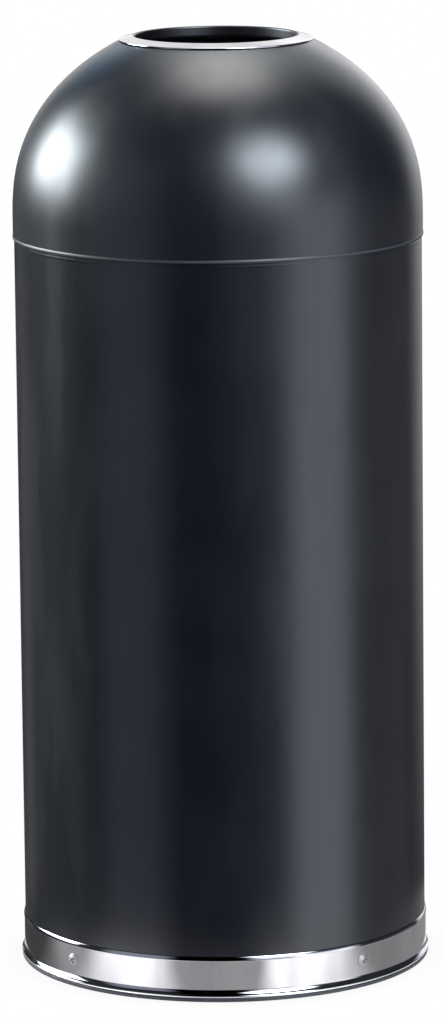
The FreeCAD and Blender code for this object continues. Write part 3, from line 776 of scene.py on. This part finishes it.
MOUTH_RADIUS = 75.5
MOUTH_TOP = 876.3
LIP_ROUND = 1.6
RIM_OUTSIDE = 90.3
RIM_ROUND = 0.7
RIM_HEIGHT = 872.4
RIM_LOW = 872.009
TRIM_SHEET = 1.0
TAIL_CENTER = (79.2, 868.0)
TAIL_RADIUS = 3.7
TAIL_TOP = 872.064
UNDER_COLLAR = 875.421
UNDER_RIM = 872.145
FLANGE_FACING = 75.5
# Radii in metres where the painted shade in the mouth's throat starts and ends.
THROAT = (0.0779, 0.0771)

profile = outline(
    (RIM_OUTSIDE - TRIM_SHEET, RIM_LOW),
    (RIM_OUTSIDE, RIM_LOW),
    arc((RIM_OUTSIDE - RIM_ROUND, RIM_HEIGHT), RIM_ROUND, 0, FLANGE_FACING, count=10),
    arc((MOUTH_RADIUS + LIP_ROUND, MOUTH_TOP - LIP_ROUND), LIP_ROUND, FLANGE_FACING, 180, count=16),
    arc(TAIL_CENTER, TAIL_RADIUS, 180, 360, count=24),
    (TAIL_CENTER[0] + TAIL_RADIUS, TAIL_TOP),
    (TAIL_CENTER[0] + TAIL_RADIUS - TRIM_SHEET, TAIL_TOP),
    arc(TAIL_CENTER, TAIL_RADIUS - TRIM_SHEET, 360, 180, count=24),
    (MOUTH_RADIUS + TRIM_SHEET, UNDER_COLLAR),
    (RIM_OUTSIDE - TRIM_SHEET, UNDER_RIM),
)
mouth_chrome = chromed_finish("mouth_chrome", lines=2200.0, roughness=0.05, throat=THROAT)
add_piece(turned("chromed_mouth_ring", *profile.T), mouth_chrome, "dome", "mouth_ring")

# Floor. A plain white studio floor round the foot, with a faint shadow where the can stands. Mirrors show
# it grey instead, close to the can only, with two pale cards on it and a white ring at the foot.

FLOOR_DROP = 0.4
FLOOR_REACH = np.array((0.0, 150.0, 185.0, 200.0, 240.0, 300.0, 400.0, 520.0, 700.0))
CONTACT_REACH = 0.05
CONTACT_SHADE = 0.12
CAMERA_AZIMUTH = 3
FLOOR_DARK = 0.07
FLOOR_GREY = 0.35
CARD_WHITE = 1.3
FOOT_WHITE = 0.8
FOOT_REACH = (0.208, 0.201)
MIRRORED_REACH = (0.37, 0.335)
GREY_FROM = (-58, 40)
DULL_FROM = (0, 5)
DULL_SHARE = 0.68
LEFT_CARD = ((-39, 46), (-17.5, 36))
RIGHT_CARD = ((11.9, 22), (36.5, 60))

floor_height = np.full(len(FLOOR_REACH), -FLOOR_DROP)
floor_mesh = turned("studio_floor", FLOOR_REACH, floor_height, closed=False)
floor = bpy.data.objects.new("studio_floor", floor_mesh)
bpy.context.scene.collection.objects.link(floor)
floor.visible_diffuse = False
floor.visible_shadow = False

floor_white = bpy.data.materials.new("studio_floor_white")
floor_white.use_nodes = True
tree = floor_white.node_tree
tree.nodes.remove(tree.nodes["Principled BSDF"])
contact = add_node(tree, "ShaderNodeAmbientOcclusion", {"Distance": CONTACT_REACH}, samples=16)
shaded = ranged(tree, contact.outputs["AO"], 0.0, 1.0, 1.0 - CONTACT_SHADE, 1.0)
place = add_node(tree, "ShaderNodeTexCoord").outputs["Object"]


def mirrored_from(turn, edge):
    """One to the right of a line on the floor, with a soft edge in millimetres. The line starts at the band's
    foot, this many degrees from the front, and runs along the camera's view as the band mirrors it there."""
    foot = math.radians(turn + CAMERA_AZIMUTH)
    run = math.radians(2 * turn + CAMERA_AZIMUTH)
    start = BAND_OUTSIDE * MM * (math.sin(foot) * math.cos(run) - math.cos(foot) * math.sin(run))
    across = (math.cos(run), math.sin(run), 0)
    aside = add_node(tree, "ShaderNodeVectorMath", {0: place, 1: across}, operation="DOT_PRODUCT")
    return ranged(tree, aside.outputs["Value"], start - edge * MM, start + edge * MM)


dull = calculate(tree, "MULTIPLY", mirrored_from(*DULL_FROM), DULL_SHARE)
grey = calculate(tree, "MAXIMUM", mirrored_from(*GREY_FROM), dull)
floor_light = calculate(tree, "ADD", calculate(tree, "MULTIPLY", grey, FLOOR_GREY), FLOOR_DARK)
for left, right in (LEFT_CARD, RIGHT_CARD):
    beyond = calculate(tree, "SUBTRACT", 1.0, mirrored_from(*right))
    card = calculate(tree, "MULTIPLY", mirrored_from(*left), beyond)
    floor_light = calculate(tree, "ADD", calculate(tree, "MULTIPLY", card, CARD_WHITE), floor_light)
apart = add_node(tree, "ShaderNodeVectorMath", {0: place}, operation="LENGTH").outputs["Value"]
near = ranged(tree, apart, *MIRRORED_REACH)
foot = calculate(tree, "MULTIPLY", ranged(tree, apart, *FOOT_REACH), FOOT_WHITE)
floor_light = calculate(tree, "ADD", floor_light, foot)
seen = add_node(tree, "ShaderNodeLightPath").outputs
mirrored = calculate(tree, "ADD", seen["Is Glossy Ray"], seen["Is Transmission Ray"])
share = calculate(tree, "MAXIMUM", seen["Is Camera Ray"], calculate(tree, "MULTIPLY", near, mirrored))
strength = add_node(tree, "ShaderNodeMix", {0: seen["Is Camera Ray"], 2: floor_light, 3: shaded}).outputs[0]
lit = add_node(tree, "ShaderNodeEmission", {"Strength": strength})
clear = add_node(tree, "ShaderNodeBsdfTransparent")
mixed = add_node(tree, "ShaderNodeMixShader", {0: share, 1: clear.outputs[0], 2: lit.outputs[0]})
tree.links.new(mixed.outputs[0], tree.nodes["Material Output"].inputs["Surface"])
floor_mesh.materials.append(floor_white)

# Studio light. Soft round and upright lights about the can and a white backdrop behind it, in degrees seen
# from the can with the camera at zero. A round light has its place, half size and edge. An upright one has
# its azimuth, half width and edge, then its low and high elevation and edge. The colour comes last.

ROUND_LIGHTS = (
    ((34, 34.7), 13.5, 9, (15.2, 17.0, 18.8)),
    ((170, 78), 16, 8, (5.9, 5.97, 5.94)),
)
UPRIGHT_LIGHTS = (
    ((-112, 17, 5.5), (4.5, 27.5, 5), (18.2, 20.0, 21.0)),
    ((58.6, 18.8, 6.5), (-60, 8, 8), (1.42, 1.5, 1.65)),
    ((-51.5, 18.5, 7), (-60, 33.5, 8), (0.29, 0.31, 0.38)),
    ((178, 34, 10), (50, 62, 5), (2.1, 2.2, 2.2)),
    ((156.5, 14.5, 6), (-8, 28.5, 8), (1.23, 1.26, 1.31)),
    ((150, 12, 7), (30, 56, 8), (0.95, 1.0, 1.0)),
    ((-158, 8, 5), (18, 36, 6), (0.08, 0.35, 0.62)),
    ((-147, 7, 4), (-50, -7, 4), (0.19, 0.16, 0.17)),
    ((105, 26, 10), (-60, -4, 5), (0.17, 0.165, 0.165)),
    ((32, 15, 7), (2, 20, 6), (1.3, 1.4, 1.6)),
)
FILL_LIGHT = (0.027, 0.031, 0.034)
DARK_FRONT = (-8.3, 31, 16)
BACKDROP = (180, 20, 6)
BACKDROP_LIFT = (-2, 46, 4)

studio = bpy.data.worlds.new("studio")
bpy.context.scene.world = studio
studio.use_nodes = True
tree = studio.node_tree
direction = add_node(tree, "ShaderNodeTexCoord").outputs["Generated"]
axes = add_node(tree, "ShaderNodeSeparateXYZ", {0: direction}).outputs
azimuth = calculate(tree, "ARCTAN2", axes["X"], calculate(tree, "MULTIPLY", axes["Y"], -1.0))
elevation = calculate(tree, "ARCSINE", axes["Z"])
seen = add_node(tree, "ShaderNodeLightPath").outputs
mirrored = calculate(tree, "ADD", seen["Is Glossy Ray"], seen["Is Transmission Ray"])


def add_light(light, share, colour):
    """Light so far, plus a colour where a mask is one."""
    inputs = {0: colour, 1: share, 2: light}
    return add_node(tree, "ShaderNodeVectorMath", inputs, operation="MULTIPLY_ADD").outputs[0]


def turned_within(middle, half, edge):
    """One within half a width of an azimuth, with soft edges."""
    turn = calculate(tree, "SUBTRACT", azimuth, math.radians(middle + CAMERA_AZIMUTH))
    turn = add_node(tree, "ShaderNodeMath", {0: turn, 1: math.pi, 2: -math.pi}, operation="WRAP").outputs[0]
    aside = calculate(tree, "ABSOLUTE", turn)
    return ranged(tree, aside, math.radians(half + edge), math.radians(half - edge))


def lifted_within(low, high, edge):
    """One between two elevations, with soft edges."""
    above = ranged(tree, elevation, math.radians(low - edge), math.radians(low + edge))
    below = ranged(tree, elevation, math.radians(high + edge), math.radians(high - edge))
    return calculate(tree, "MULTIPLY", above, below)


light = add_light((0, 0, 0), calculate(tree, "SUBTRACT", 1.0, turned_within(*DARK_FRONT)), FILL_LIGHT)
for (turn, lift), size, edge, colour in ROUND_LIGHTS:
    turn, lift = math.radians(turn + CAMERA_AZIMUTH), math.radians(lift)
    toward = (math.sin(turn) * math.cos(lift), -math.cos(turn) * math.cos(lift), math.sin(lift))
    facing = add_node(tree, "ShaderNodeVectorMath", {0: direction, 1: toward}, operation="DOT_PRODUCT")
    aside = calculate(tree, "ARCCOSINE", facing.outputs["Value"])
    mask = ranged(tree, aside, math.radians(size + edge), math.radians(size - edge))
    light = add_light(light, mask, colour)
for across, upright, colour in UPRIGHT_LIGHTS:
    mask = calculate(tree, "MULTIPLY", turned_within(*across), lifted_within(*upright))
    light = add_light(light, mask, colour)
backdrop = calculate(tree, "MULTIPLY", turned_within(*BACKDROP), lifted_within(*BACKDROP_LIFT))
light = add_light(light, calculate(tree, "MULTIPLY", backdrop, mirrored), (1.0, 1.0, 1.0))
lit = add_node(tree, "ShaderNodeBackground", {"Color": light})
white = add_node(tree, "ShaderNodeBackground", {"Color": (1, 1, 1, 1)})
shown = {0: seen["Is Camera Ray"], 1: lit.outputs[0], 2: white.outputs[0]}
mixed = add_node(tree, "ShaderNodeMixShader", shown)
tree.links.new(mixed.outputs[0], tree.nodes["World Output"].inputs["Surface"])
bpy.context.scene.view_settings.view_transform = "Standard"

# Camera. A long lens a few metres away, a little above the can and turned three degrees to its right, with
# the slight lean that the photograph has.

CAMERA_AWAY = 5.415
CAMERA_HEIGHT = 1.453
AIM_ASIDE = 0.00107
AIM_HEIGHT = 0.4246
CAMERA_LEAN = -0.0106
FOCAL_PIXELS = 5844
FRAME_HEIGHT = 1024
SENSOR = 36.0
VIEW_END = 100

turn = math.radians(CAMERA_AZIMUTH)
eye = Vector((CAMERA_AWAY * math.sin(turn), -CAMERA_AWAY * math.cos(turn), CAMERA_HEIGHT))
aim = Vector((AIM_ASIDE * math.cos(turn), AIM_ASIDE * math.sin(turn), AIM_HEIGHT))
forward = (aim - eye).normalized()
level = forward.cross(Vector((0, 0, 1))).normalized()
upward = level.cross(forward)
rightward = math.cos(CAMERA_LEAN) * level + math.sin(CAMERA_LEAN) * upward
upward = rightward.cross(forward)
lens = bpy.data.cameras.new("photograph_camera")
lens.sensor_width = SENSOR
lens.lens = FOCAL_PIXELS * SENSOR / FRAME_HEIGHT
lens.clip_end = VIEW_END
camera = bpy.data.objects.new("photograph_camera", lens)
bpy.context.scene.collection.objects.link(camera)
camera.matrix_world = Matrix((rightward, upward, -forward)).transposed().to_4x4()
camera.location = eye
bpy.context.scene.camera = camera
